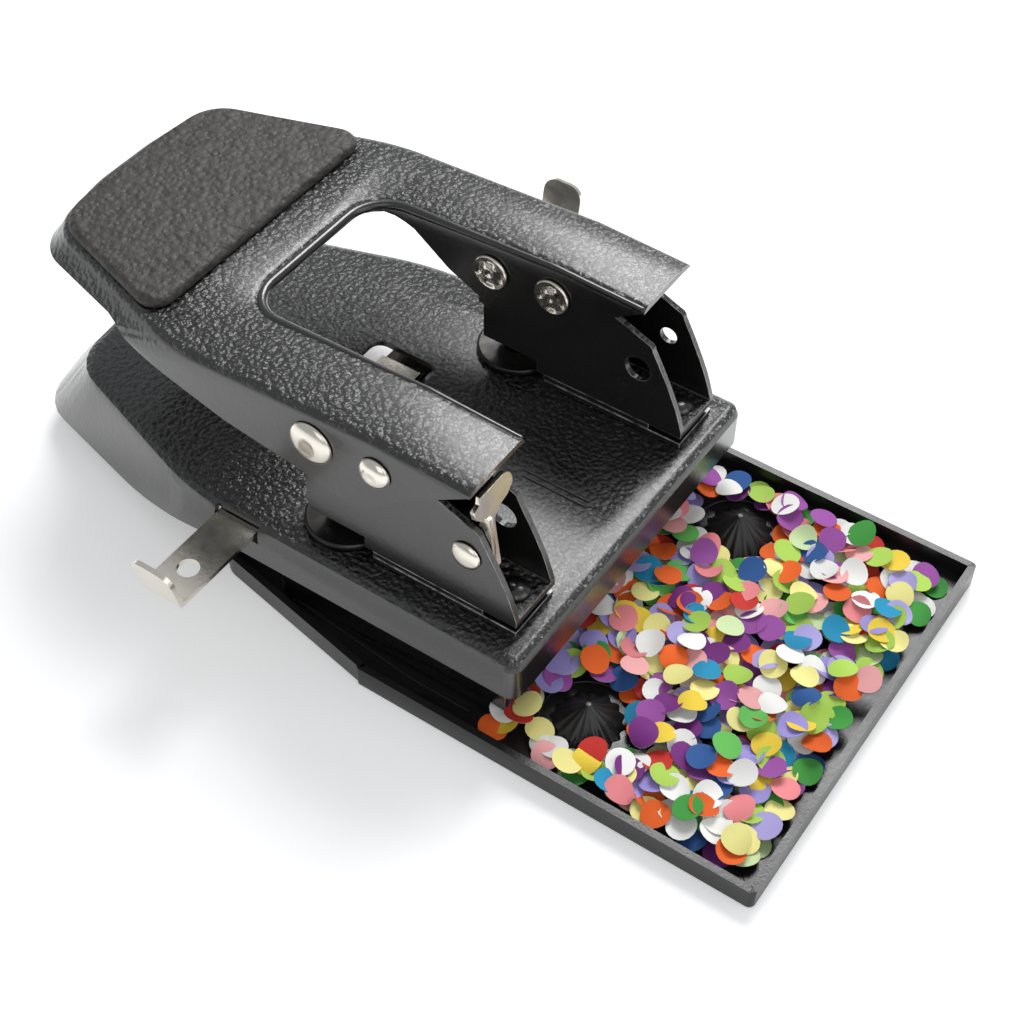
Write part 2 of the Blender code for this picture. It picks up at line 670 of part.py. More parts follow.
def latch():
    """Thumb latch on the left head: a side plate with a hub, and a front tongue bent across it."""
    hub = arc(LATCH_PIVOT, 4.5 * MM, -120, 75, 12)
    outline = hub + scaled([(16.4, 56.5), (15.2, 62.0), (13.3, 62.0), (12.4, 53.0), (12.0, 46.6)])
    middle = LATCH_X + LATCH_SHEET / 2
    obj = add_object("latch", outline_mesh(outline, LATCH_SHEET, across_x(middle)), NICKEL)
    cut(obj, along_x(middle, 6 * MM, *LATCH_PIVOT, 2.3 * MM), "hole")
    stem_left = LATCH_X
    stem_right = LATCH_X + 2.6 * MM
    tongue = [(stem_left, 1.0 * MM), (stem_right, 1.0 * MM), (stem_right, 12.5 * MM)]
    tongue += smooth_through(scaled([(-38.2, 14.2), (-36.0, 16.2), (-33.0, 17.0)]), 4)
    tongue += arc((-34.0 * MM, 19.9 * MM), 3.3 * MM, -20, 90, 6)
    tongue += scaled([(-41.8, 23.0), (-42.4, 21.4), (-44.4, 20.8), (-44.2, 18.6)])
    tongue += [(stem_left, 15.0 * MM)]
    turn = Matrix.Rotation(-TONGUE_LEAN, 4, "X") @ across_y(0)
    place = Matrix.Translation((0, 11.8 * MM + LATCH_SHEET / 2, 45.8 * MM)) @ turn
    join(obj, outline_mesh(tongue, LATCH_SHEET, place), "tongue")
    outside = HEAD_X + HEAD_HALF_WIDTH + GAP
    dome = half_dome(3.8 * MM, 1.6 * MM, outside)
    end = 39.2 * MM
    profile = [(0, dome[0][1])] + dome[1:] + [(2.0 * MM, outside), (2.0 * MM, end), (0, end)]
    turned("latch_rivet", profile, facing(-1, *LATCH_PIVOT), NICKEL, 28)


# ---------------------------------------------------------------- side guides

def guides():
    """Sliding strips under the pan, each turned up at its outer end as a stop for the paper's edge."""
    half = (GUIDE_Y[1] - GUIDE_Y[0]) / 2
    middle = (GUIDE_Y[0] + GUIDE_Y[1]) / 2
    for side, outer, bottom in ((-1, LEFT_GUIDE_X, LEFT_GUIDE_Z), (1, RIGHT_GUIDE_X, RIGHT_GUIDE_Z)):
        inner = outer - side * GUIDE_LENGTH
        low = (min(inner, outer), GUIDE_Y[0], bottom)
        high = (max(inner, outer), GUIDE_Y[1], bottom + GUIDE_SHEET)
        obj = add_object("paper_guide_" + side_name(side), box_mesh(low, high), NICKEL)
        radius = 4.0 * MM
        tab = [(-half, 0), (half, 0)] + arc((half - radius, GUIDE_TAB_HEIGHT - radius), radius, 0, 90, 5) + \
            arc((-half + radius, GUIDE_TAB_HEIGHT - radius), radius, 90, 180, 5)
        place = Matrix.Translation((outer - side * GUIDE_SHEET / 2, middle, bottom + 0.1 * MM)) \
            @ Matrix.Rotation(side * GUIDE_TAB_LEAN, 4, "Y") @ across_x(0)
        join(obj, outline_mesh(tab, GUIDE_SHEET, place), "tab")
        hole_x = outer - side * GUIDE_HOLE_INSET
        cut(obj, upright(hole_x, middle, 15 * MM, 35 * MM, 2.75 * MM, 24), "hole")


def guide_clips():
    """A clip under the pan on each side holds both strips and lets them slide."""
    inner = (GUIDE_Y[0] - 0.5 * MM, GUIDE_Y[1] + 0.5 * MM)
    leg = 1.4 * MM
    low, top = RIGHT_GUIDE_Z - GAP, BASE_UNDERSIDE - GAP
    profile = [(inner[0] - leg, low - leg), (inner[1] + leg, low - leg), (inner[1] + leg, top),
               (inner[1], top), (inner[1], low), (inner[0], low), (inner[0], top), (inner[0] - leg, top)]
    for side in (-1, 1):
        mesh = outline_mesh(profile, 4.0 * MM, across_x(side * HEAD_X))
        add_object("guide_clip_" + side_name(side), mesh, BLACK_SMOOTH)


# ---------------------------------------------------------------- chip tray

def tray_side():
    """Right side of the tray seen from above: straight, a small step, then a taper to the rear."""
    return fillet(scaled([(0, -65, 0), (55.6, -65, 1.5), (55.6, 40.5, 0.4), (55.0, 41.1, 0.2),
                          (45.9, 88.8, 6), (38.0, 92, 6), (0, 92, 0)]), 4)[1:]


def chip_tray():
    """Shallow tray under the base, with a cone that comes below each die when it is pushed in."""
    loop = mirrored_loop(tray_side())
    inner = inset(loop, TRAY_WALL)
    rings = [level(inset(loop, 0.3 * MM), 0.0), level(loop, 0.5 * MM), level(loop, TRAY_HEIGHT),
             level(inner, TRAY_HEIGHT), level(inner, TRAY_FLOOR)]
    obj = add_object("chip_tray", loft(rings, True, True), TRAY_PLASTIC)
    for side in (-1, 1):
        x = side * HEAD_X
        cone = cylinder_mesh((x, CONE_Y, TRAY_FLOOR - 0.5 * MM), (x, CONE_Y, CONE_TOP),
                             CONE_RADIUS, 28, 0.6 * MM)
        join(obj, cone, "cone_" + side_name(side))


def main():
    clear_scene()
    base_pan()
    runners()
    heads()
    foot_plates()
    dies()
    head_rivets()
    punches()
    handle()
    handle_pad()
    handle_pins()
    latch()
    guides()
    guide_clips()
    chip_tray()


main()
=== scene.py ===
import math

import bmesh
import bpy
import numpy as np
from mathutils import Matrix, Vector


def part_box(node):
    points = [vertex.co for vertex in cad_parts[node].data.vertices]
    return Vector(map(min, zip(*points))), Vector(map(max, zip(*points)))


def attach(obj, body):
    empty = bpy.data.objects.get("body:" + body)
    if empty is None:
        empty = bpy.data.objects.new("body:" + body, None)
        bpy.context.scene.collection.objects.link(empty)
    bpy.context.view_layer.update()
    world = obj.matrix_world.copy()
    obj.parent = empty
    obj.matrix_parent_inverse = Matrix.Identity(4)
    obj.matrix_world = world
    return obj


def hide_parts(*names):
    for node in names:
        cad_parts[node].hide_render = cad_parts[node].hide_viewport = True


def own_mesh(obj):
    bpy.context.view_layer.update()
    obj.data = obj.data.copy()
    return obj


bl_info = {
    "name": "Two-hole desk punch",
    "version": (1, 0, 0),
    "blender": (4, 5, 0),
    "location": "3D View > Sidebar > Punch",
    "description": "Builds the finished pieces of a two-hole desk punch round its packed frame",
    "category": "Object",
}

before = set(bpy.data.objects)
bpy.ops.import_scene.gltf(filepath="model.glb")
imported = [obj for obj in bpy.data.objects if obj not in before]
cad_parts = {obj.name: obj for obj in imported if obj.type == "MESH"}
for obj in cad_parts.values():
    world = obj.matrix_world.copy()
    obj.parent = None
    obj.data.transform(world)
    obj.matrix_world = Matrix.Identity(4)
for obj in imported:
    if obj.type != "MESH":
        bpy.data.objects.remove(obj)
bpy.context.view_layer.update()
MM = 0.001
SIDES = (("left", -1), ("right", 1))
HEAD_X = (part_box("punch_right")[0].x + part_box("punch_right")[1].x) / 2
PUNCH_Y = (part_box("punch_right")[0].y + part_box("punch_right")[1].y) / 2
PAD_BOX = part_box("handle_pad")
TRAY_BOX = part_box("chip_tray")
SPRING_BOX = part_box("return_spring_right")
TRAY_FLOOR = 1.5 * MM
TRAY_WALL = 1.8 * MM
CONE_Y = -10.0 * MM

# Pins: dome radii, and the tail's outline as (distance from the punch's middle, radius) in millimetres
DOME_RADIUS = {"drive_pin_": 5.6 * MM, "pivot_pin_": 4.0 * MM}
DOME_HEIGHT = 2.2 * MM
SHANK_RADIUS_MM = 2.5
PIN_TAIL_MM = ((23.6, 2.5), (23.6, 4.4), (23.45, 4.7), (23.1, 4.7), (22.8, 4.45), (22.85, 4.1), (22.95, 3.7),
               (22.95, 3.3), (22.9, 2.9), (22.85, 2.5), (22.8, 2.1), (22.5, 1.6), (22.42, 1.2), (22.6, 0.8),
               (22.75, 0.4), (22.8, 0.0))


# ---------------------------------------------------------------- settings

class HolePunchPaint(bpy.types.PropertyGroup):
    """Black enamel on the pressed sheet"""
    color: bpy.props.FloatVectorProperty(
        name="Enamel colour", description="Colour of the black enamel",
        default=(0.006, 0.0056, 0.0054), subtype="COLOR", min=0.0, max=1.0)
    wrinkle: bpy.props.FloatProperty(
        name="Wrinkle size", description="Width of one cell of the wrinkle enamel",
        default=0.0011, unit="LENGTH", precision=5)
    relief: bpy.props.FloatProperty(
        name="Wrinkle relief", description="Height of the wrinkles",
        default=0.00022, unit="LENGTH", precision=6)


class HolePunchPad(bpy.types.PropertyGroup):
    """Soft pad on the handle"""
    color: bpy.props.FloatVectorProperty(
        name="Pad colour", description="Colour of the soft pad",
        default=(0.05, 0.044, 0.04), subtype="COLOR", min=0.0, max=1.0)
    crown: bpy.props.FloatProperty(
        name="Pad crown", description="How far the pad's middle swells",
        default=0.0005, unit="LENGTH", precision=5)


class HolePunchBright(bpy.types.PropertyGroup):
    """Nickel and steel pieces"""
    nickel: bpy.props.FloatVectorProperty(
        name="Nickel colour", description="Colour of the nickel plate",
        default=(0.86, 0.82, 0.74), subtype="COLOR", min=0.0, max=1.0)
    steel: bpy.props.FloatVectorProperty(
        name="Steel colour", description="Colour of the ground steel",
        default=(0.36, 0.35, 0.34), subtype="COLOR", min=0.0, max=1.0)


class HolePunchChips(bpy.types.PropertyGroup):
    """Paper discs in the tray"""
    count: bpy.props.IntProperty(name="Chips", description="Number of loose paper discs", default=420, min=1)
    radius: bpy.props.FloatProperty(
        name="Chip radius", description="Radius of one disc", default=0.00345, unit="LENGTH", precision=5)
    curl: bpy.props.FloatProperty(
        name="Chip curl", description="How far a disc's edge rises", default=0.0013, unit="LENGTH", precision=5)


# ---------------------------------------------------------------- materials

def new_material(name, color, roughness, metallic=0.0, **sockets):
    """A material with constants set straight on its shader; returns (material, shader, nodes, links)."""
    made = bpy.data.materials.new(name)
    made.use_nodes = True
    nodes, links = made.node_tree.nodes, made.node_tree.links
    shader = nodes["Principled BSDF"]
    shader.inputs["Base Color"].default_value = (*color, 1.0)
    shader.inputs["Roughness"].default_value = roughness
    shader.inputs["Metallic"].default_value = metallic
    for socket, value in sockets.items():
        shader.inputs[socket.replace("_", " ")].default_value = value
    return made, shader, nodes, links


def object_place(nodes):
    return nodes.new("ShaderNodeTexCoord").outputs["Object"]


def noise(nodes, links, scale, detail=4.0, rough=0.55):
    made = nodes.new("ShaderNodeTexNoise")
    made.inputs["Scale"].default_value = scale
    made.inputs["Detail"].default_value = detail
    made.inputs["Roughness"].default_value = rough
    links.new(object_place(nodes), made.inputs["Vector"])
    return made.outputs["Fac"]


def cells(nodes, links, scale):
    made = nodes.new("ShaderNodeTexVoronoi")
    made.feature = "SMOOTH_F1"
    made.inputs["Scale"].default_value = scale
    made.inputs["Smoothness"].default_value = 0.7
    links.new(object_place(nodes), made.inputs["Vector"])
    return made.outputs["Distance"]


def ramp(nodes, links, value, stops):
    """A colour ramp over (position, grey or colour) stops."""
    made = nodes.new("ShaderNodeValToRGB")
    band = made.color_ramp
    while len(band.elements) < len(stops):
        band.elements.new(0.5)
    for element, (position, tone) in zip(band.elements, stops):
        element.position = position
        element.color = (*tone, 1.0) if hasattr(tone, "__len__") else (tone, tone, tone, 1.0)
    links.new(value, made.inputs["Fac"])
    return made.outputs["Color"]


def relief(nodes, links, shader, heights, distance, strength=1.0):
    """Adds up weighted heights and feeds them to the shader as a bump."""
    total = None
    for height, weight in heights:
        step = nodes.new("ShaderNodeMath")
        step.operation = "MULTIPLY_ADD"
        step.inputs[1].default_value = weight
        step.inputs[2].default_value = 0.0
        links.new(height, step.inputs[0])
        if total is not None:
            links.new(total, step.inputs[2])
        total = step.outputs["Value"]
    bump = nodes.new("ShaderNodeBump")
    bump.inputs["Distance"].default_value = distance
    bump.inputs["Strength"].default_value = strength
    links.new(total, bump.inputs["Height"])
    links.new(bump.outputs["Normal"], shader.inputs["Normal"])


def wrinkle_enamel():
    """Glossy black enamel that has dried in small rounded wrinkles."""
    found = bpy.data.materials.get("wrinkle_enamel")
    if found:
        return found
    look = bpy.context.scene.hole_punch_paint
    made, shader, nodes, links = new_material("wrinkle_enamel", look.color, 0.3, Coat_Weight=0.8,
                                              Coat_Roughness=0.22, IOR=1.55)
    scale = 1.0 / look.wrinkle
    fine = noise(nodes, links, scale * 0.9, 2.0, 0.5)
    pits = cells(nodes, links, scale * 0.85)
    sum_up = nodes.new("ShaderNodeMath")
    sum_up.operation = "MULTIPLY_ADD"
    sum_up.inputs[1].default_value = -0.9
    links.new(pits, sum_up.inputs[0])
    links.new(fine, sum_up.inputs[2])
    level = nodes.new("ShaderNodeAttribute")
    level.attribute_name = "levelness"
    faded = nodes.new("ShaderNodeMath")
    faded.operation = "MULTIPLY"
    links.new(sum_up.outputs["Value"], faded.inputs[0])
    links.new(ramp(nodes, links, level.outputs["Fac"], [(0.35, 0.06), (0.8, 1.0)]), faded.inputs[1])
    relief(nodes, links, shader, [(faded.outputs["Value"], 1.0)], look.relief * 3.2)
    tone = ramp(nodes, links, noise(nodes, links, 60.0), [(0.3, 0.26), (0.75, 0.36)])
    links.new(tone, shader.inputs["Roughness"])
    return made


def edge_highlight_wear():
    """Sheet edges where the enamel is thin and polished by wear, in a lighter metallic grey that also stands as
    a painted highlight along the rounded edges.
    """
    found = bpy.data.materials.get("edge_highlight_wear")
    if found:
        return found
    made, shader, nodes, links = new_material("edge_highlight_wear", (0.2, 0.19, 0.19), 0.3, 0.6)
    wear = noise(nodes, links, 260.0, 5.0, 0.65)
    tint = ramp(nodes, links, wear, [(0.36, (0.06, 0.058, 0.056)), (0.6, (0.42, 0.41, 0.41))])
    links.new(tint, shader.inputs["Base Color"])
    return made


def smooth_enamel():
    """Black enamel on small plates, flatter and glossier than on the pan."""
    found = bpy.data.materials.get("smooth_enamel")
    if found:
        return found
    look = bpy.context.scene.hole_punch_paint
    made, shader, nodes, links = new_material("smooth_enamel", look.color, 0.22, Coat_Weight=0.8,
                                              Coat_Roughness=0.14)
    relief(nodes, links, shader, [(noise(nodes, links, 420.0, 3.0), 1.0)], 0.0004, 0.5)
    tone = ramp(nodes, links, noise(nodes, links, 90.0), [(0.35, 0.16), (0.7, 0.3)])
    links.new(tone, shader.inputs["Roughness"])
    return made


def pad_leather():
    """Matte dark pad with a pebbled leather grain."""
    look = bpy.context.scene.hole_punch_pad
    made, shader, nodes, links = new_material("pad_leather", look.color, 0.55, Specular_IOR_Level=0.6)
    grain = cells(nodes, links, 620.0)
    folds = noise(nodes, links, 210.0, 5.0, 0.6)
    fine = noise(nodes, links, 1500.0, 3.0, 0.6)
    relief(nodes, links, shader, [(grain, 0.7), (folds, 1.3), (fine, 0.25)], 0.0007)
    # darker where the folds sink: painted shade in the hollows of the pad
    tone = ramp(nodes, links, folds, [(0.3, (0.02, 0.017, 0.0155)), (0.7, tuple(look.color))])
    links.new(tone, shader.inputs["Base Color"])
    rough = ramp(nodes, links, grain, [(0.1, 0.48), (0.8, 0.68)])
    links.new(rough, shader.inputs["Roughness"])
    return made


def nickel_plate():
    """Bright warm nickel with handling marks."""
    found = bpy.data.materials.get("nickel_plate_worn")
    if found:
        return found
    look = bpy.context.scene.hole_punch_bright
    made, shader, nodes, links = new_material("nickel_plate_worn", look.nickel, 0.2, 1.0)
    marks = noise(nodes, links, 160.0, 6.0, 0.65)
    tone = ramp(nodes, links, marks, [(0.3, 0.15), (0.7, 0.3)])
    links.new(tone, shader.inputs["Roughness"])
    tint = ramp(nodes, links, noise(nodes, links, 45.0), [(0.3, (0.74, 0.69, 0.6)), (0.7, tuple(look.nickel))])
    links.new(tint, shader.inputs["Base Color"])
    relief(nodes, links, shader, [(noise(nodes, links, 700.0, 3.0), 1.0)], 0.00006, 0.5)
    return made


def ground_steel():
    """Turned and ground steel, a little oily."""
    found = bpy.data.materials.get("ground_steel_oily")
    if found:
        return found
    look = bpy.context.scene.hole_punch_bright
    made, shader, nodes, links = new_material("ground_steel_oily", look.steel, 0.34, 1.0)
    oil = noise(nodes, links, 120.0, 5.0)
    tint = ramp(nodes, links, oil, [(0.3, (0.2, 0.19, 0.18)), (0.7, tuple(look.steel))])
    links.new(tint, shader.inputs["Base Color"])
    links.new(ramp(nodes, links, oil, [(0.3, 0.42), (0.7, 0.26)]), shader.inputs["Roughness"])
    relief(nodes, links, shader, [(noise(nodes, links, 1800.0, 2.0), 1.0)], 0.00005, 0.6)
    return made


def blued_steel():
    """Dark hardened steel with a satin face."""
    found = bpy.data.materials.get("blued_steel_satin")
    if found:
        return found
    made, shader, nodes, links = new_material("blued_steel_satin", (0.05, 0.048, 0.046), 0.3, 0.9)
    bloom = noise(nodes, links, 150.0, 5.0)
    tint = ramp(nodes, links, bloom, [(0.3, (0.025, 0.024, 0.024)), (0.7, (0.07, 0.066, 0.062))])
    links.new(tint, shader.inputs["Base Color"])
    links.new(ramp(nodes, links, bloom, [(0.3, 0.36), (0.7, 0.24)]), shader.inputs["Roughness"])
    return made


def tray_plastic():
    """Satin black moulded plastic with a fine spark-eroded texture and light scuffs."""
    made, shader, nodes, links = new_material("tray_plastic_satin", (0.0095, 0.0095, 0.0098), 0.33)
    scuff = noise(nodes, links, 35.0, 8.0, 0.7)
    links.new(ramp(nodes, links, scuff, [(0.3, 0.24), (0.75, 0.44)]), shader.inputs["Roughness"])
    relief(nodes, links, shader, [(noise(nodes, links, 1600.0, 3.0), 1.0)], 0.00012, 0.5)
    return made


def chip_paper():
    """Coloured paper: the colour comes from the piece's own attribute, with a little fibre."""
    made, shader, nodes, links = new_material("chip_paper", (1.0, 1.0, 1.0), 0.75, Specular_IOR_Level=0.25)
    paint = nodes.new("ShaderNodeAttribute")
    paint.attribute_name = "chip_color"
    links.new(paint.outputs["Color"], shader.inputs["Base Color"])
    relief(nodes, links, shader, [(noise(nodes, links, 2600.0, 3.0), 1.0)], 0.00008, 0.6)
    return made


# ---------------------------------------------------------------- meshes

def add_piece(name, mesh, finish, body, smooth_angle=40.0):
    """Links a mesh as a finished piece of the punch that rides on a body."""
    piece = bpy.data.objects.new(name, mesh)
    bpy.context.scene.collection.objects.link(piece)
    mesh.materials.clear()
    mesh.materials.append(finish)
    mesh.shade_smooth()
    mesh.set_sharp_from_angle(angle=math.radians(smooth_angle))
    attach(piece, body)
    return piece


def mark_levelness(mesh):
    """Stores how level each face is: 1 where it faces up, 0 where it stands.  Wrinkles form on level sheet."""
    up = np.zeros(len(mesh.polygons) * 3)
    mesh.polygons.foreach_get("normal", up)
    layer = mesh.attributes.new("levelness", "FLOAT", "FACE")
    layer.data.foreach_set("value", np.abs(up.reshape(-1, 3)[:, 2]).astype(np.float32))


def clean_copy(node, body, finish, bevel=0.0, smooth_angle=40.0, edge=None):
    """A merged copy of a CAD node stands for it, with its flat faces joined and its edges rounded; edge is a
    second material for the rounded edges, a painted highlight on them."""
    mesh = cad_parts[node].data.copy()
    bm = bmesh.new()
    bm.from_mesh(mesh)
    bmesh.ops.remove_doubles(bm, verts=bm.verts, dist=2e-6)
    bmesh.ops.dissolve_limit(bm, angle_limit=math.radians(0.6), verts=bm.verts, edges=bm.edges)
    bm.to_mesh(mesh)
    bm.free()
    mark_levelness(mesh)
    piece = add_piece(node + "_finish", mesh, finish, body, smooth_angle)
    if bevel:
        if edge is not None:
            mesh.materials.append(edge)
        rounding = piece.modifiers.new("rounded_edges", "BEVEL")
        rounding.width = bevel
        rounding.segments = 2
        rounding.limit_method = "ANGLE"
        rounding.angle_limit = math.radians(smooth_angle)
        rounding.use_clamp_overlap = True
        rounding.harden_normals = True
        if edge is not None:
            # the rounded edges take the lighter edge material: painted highlight, partly worn bare metal
            rounding.material = 1
    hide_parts(node)
    return piece


def grid_mesh(name, points, close_v=False, cap_start=False, cap_end=False):
    """A surface from points[i, j, xyz]: quads between neighbours, with each row joined to its own start when
    close_v is set; a cap closes the first or last row with one face."""
    rows, columns = points.shape[:2]
    index = np.arange(rows * columns).reshape(rows, columns)
    if close_v:
        index = np.hstack([index, index[:, :1]])
    quads = np.stack([index[:-1, :-1], index[:-1, 1:], index[1:, 1:], index[1:, :-1]], axis=-1).reshape(-1, 4)
    faces = quads.tolist()
    ends = np.arange(rows * columns).reshape(rows, columns)
    if cap_start:
        faces.append(ends[0][::-1].tolist())
    if cap_end:
        faces.append(ends[-1].tolist())
    mesh = bpy.data.meshes.new(name)
    mesh.from_pydata(points.reshape(-1, 3).tolist(), [], faces)
    bm = bmesh.new()
    bm.from_mesh(mesh)
    bmesh.ops.remove_doubles(bm, verts=bm.verts, dist=1e-7)
    bmesh.ops.recalc_face_normals(bm, faces=bm.faces)
    bm.to_mesh(mesh)
    bm.free()
    mesh.validate()
    return mesh


def tube_along(name, path, radius, sides=12):
    """A round bar along a path: each ring lies across the path's direction."""
    direction = np.gradient(path, axis=0)
    direction /= np.linalg.norm(direction, axis=1)[:, None]
    across = np.cross(direction, [0.0, 0.0, 1.0])
    across /= np.linalg.norm(across, axis=1)[:, None]
    up = np.cross(across, direction)
    turn = np.linspace(0, 2 * np.pi, sides, endpoint=False)
    ring = np.cos(turn)[None, :, None] * across[:, None, :] + np.sin(turn)[None, :, None] * up[:, None, :]
    return grid_mesh(name, path[:, None, :] + radius * ring, close_v=True, cap_start=True, cap_end=True)


def rounded_path(corners, steps=10):
    """An open line through (x, y, radius) corners, each replaced by an arc that touches both its sides."""
    spots = [np.array(corners[0][:2], float)]
    for before, here, after in zip(corners, corners[1:], corners[2:]):
        corner = np.array(here[:2], float)
        back = np.array(before[:2], float) - corner
        ahead = np.array(after[:2], float) - corner
        back /= np.linalg.norm(back)
        ahead /= np.linalg.norm(ahead)
        half = math.acos(float(np.clip(back @ ahead, -1, 1))) / 2
        middle = corner + (back + ahead) / np.linalg.norm(back + ahead) * here[2] / math.sin(half)
        first = corner + back * here[2] / math.tan(half) - middle
        last = corner + ahead * here[2] / math.tan(half) - middle
        blend = np.linspace(0, 1, steps)[:, None]
        fan = first * (1 - blend) + last * blend
        fan *= here[2] / np.linalg.norm(fan, axis=1)[:, None]
        spots.extend(middle + fan)
    spots.append(np.array(corners[-1][:2], float))
    return np.array(spots)


def even_spacing(line, count):
    """The same line with points at even distances along it."""
    run = np.concatenate([[0], np.cumsum(np.linalg.norm(np.diff(line, axis=0), axis=1))])
    at = np.linspace(0, run[-1], count)
    return np.stack([np.interp(at, run, line[:, k]) for k in range(line.shape[1])], axis=1)


# ---------------------------------------------------------------- operators

class HOLEPUNCH_OT_painted_sheet(bpy.types.Operator):
    """Finishes the enamelled sheet: the pan, the handle, the heads and the plates under them"""
    bl_idname = "hole_punch.painted_sheet"
    bl_label = "Painted sheet"

    def execute(self, context):
        # the edge material paints a highlight along the rounded edges of the sheet and plates
        wrinkle, smooth, edge_highlight = wrinkle_enamel(), smooth_enamel(), edge_highlight_wear()
        clean_copy("base_pan", "base", wrinkle, 0.22 * MM)
        clean_copy("handle_frame", "handle", wrinkle, 0.25 * MM, 40.0, edge_highlight)
        for side, _ in SIDES:
            clean_copy("head_bracket_" + side, "base", wrinkle, 0.3 * MM, 40.0, edge_highlight)
            for node in ("stop_plate_", "spacer_plate_", "runner_", "guide_clip_"):
                clean_copy(node + side, "base", smooth, 0.25 * MM, 40.0, edge_highlight)
            for node in ("head_rivet_front_", "head_rivet_rear_"):
                clean_copy(node + side, "base", smooth)
        self.window_lip(wrinkle)
        self.base_ribs(wrinkle)
        return {"FINISHED"}

    def window_lip(self, finish):
        """A rolled bead round the gap between the arms: a small round bar carried along the gap's edge."""
        half, rear, front, corner = 24.5 * MM, 92.4 * MM, 16.4 * MM, 10.2 * MM
        line = rounded_path([(-half, front, 0), (-half, rear, corner), (half, rear, corner),
                             (half, front, 0)], 14)
        line = even_spacing(line, 150)
        height = HOLEPUNCH_OT_handle_pad.top_height(line[:, 1]) - 0.85 * MM
        swell = np.clip((line[:, 1] - 50 * MM) / (30 * MM), 0, 1)[:, None, None]
        path = np.column_stack([line, height])
        bar = (0.75 + 0.5 * swell) * MM
        add_piece("handle_window_lip", tube_along("handle_window_lip", path, bar, 20), finish, "handle",
                  60.0)

    def base_ribs(self, finish):
        """Two slim raised lines mark the middle of the pan, each a half-buried bar."""
        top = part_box("base_pan")[1].z
        for k, x in enumerate((-0.9 * MM, 0.9 * MM)):
            y = np.linspace(13.5 * MM, 31.5 * MM, 14)
            path = np.column_stack([np.full(14, x), y, np.full(14, top)])
            add_piece("centre_mark_%d" % k, tube_along("centre_mark", path, 0.4 * MM, 10), finish, "base",
                      60.0)


class HOLEPUNCH_OT_handle_pad(bpy.types.Operator):
    """Makes the soft pad on the handle's rear"""
    bl_idname = "hole_punch.handle_pad"
    bl_label = "Handle pad"

    def execute(self, context):
        """Rings of the pad's outline shrink towards its middle; their height follows a quarter circle at the
        rim and a shallow dome inside it."""
        half = [(0, 105.5, 0), (40, 105.5, 5), (27.5, 146, 11), (9, 147.8, 30), (0, 147.8, 0)]
        right = rounded_path([tuple(v * MM for v in corner) for corner in half], 10)
        left = right[1:-1][::-1] * np.array([-1, 1])
        outline = even_spacing(np.vstack([right, left, right[:1]]), 161)[:-1]
        middle = np.array([0.0, 127.0 * MM])
        low = -0.05 * MM
        rim, thick, crown = 1.9 * MM, 2.55 * MM, context.scene.hole_punch_pad.crown
        arcs = np.linspace(0, np.pi / 2, 9)
        inward = np.concatenate([[0.3 * MM, 0.1 * MM, 0.0], rim * (1 - np.cos(arcs))[1:]])
        rise = np.concatenate([[0.0, 0.15 * MM, thick - rim], thick - rim + rim * np.sin(arcs)[1:]])
        shares = np.linspace(1, 0.02, 14)[1:]
        rings, radial = [], outline - middle
        reach = np.linalg.norm(radial, axis=1)[:, None]
        for step, up in zip(inward, rise):
            rings.append((middle + radial * (1 - step / reach), np.full(len(outline), up)))
        inner = middle + radial * (1 - rim / reach)
        for share in shares:
            spot = middle + (inner - middle) * share
            swell = crown * (1 - share ** 2)
            sag = (0.12 * MM * np.sin(spot[:, 0] / (5.2 * MM)) * np.sin(spot[:, 1] / (6.3 * MM))
                   * (1 - share ** 4))
            rings.append((spot, thick + swell + sag))
        points = np.array([np.column_stack([spot, self.top_height(spot[:, 1]) + 0.3 * MM + low + up])
                           for spot, up in rings])
        limit = PAD_BOX[1].z + 0.7 * MM
        points[:, :, 2] = np.minimum(points[:, :, 2], limit)
        mesh = grid_mesh("handle_pad", points, close_v=True, cap_start=True, cap_end=True)
        pad = add_piece("handle_pad_leather", mesh, pad_leather(), "handle", 70.0)
        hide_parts("handle_pad")
        return {"FINISHED"}

    @staticmethod
    def top_height(y):
        """The handle's top falls in straight runs from its crease to its rear."""
        return np.interp(y, np.array([15.8, 40.0, 90.0, 160.0]) * MM, np.array([71.6, 72.6, 70.0, 69.4]) * MM)


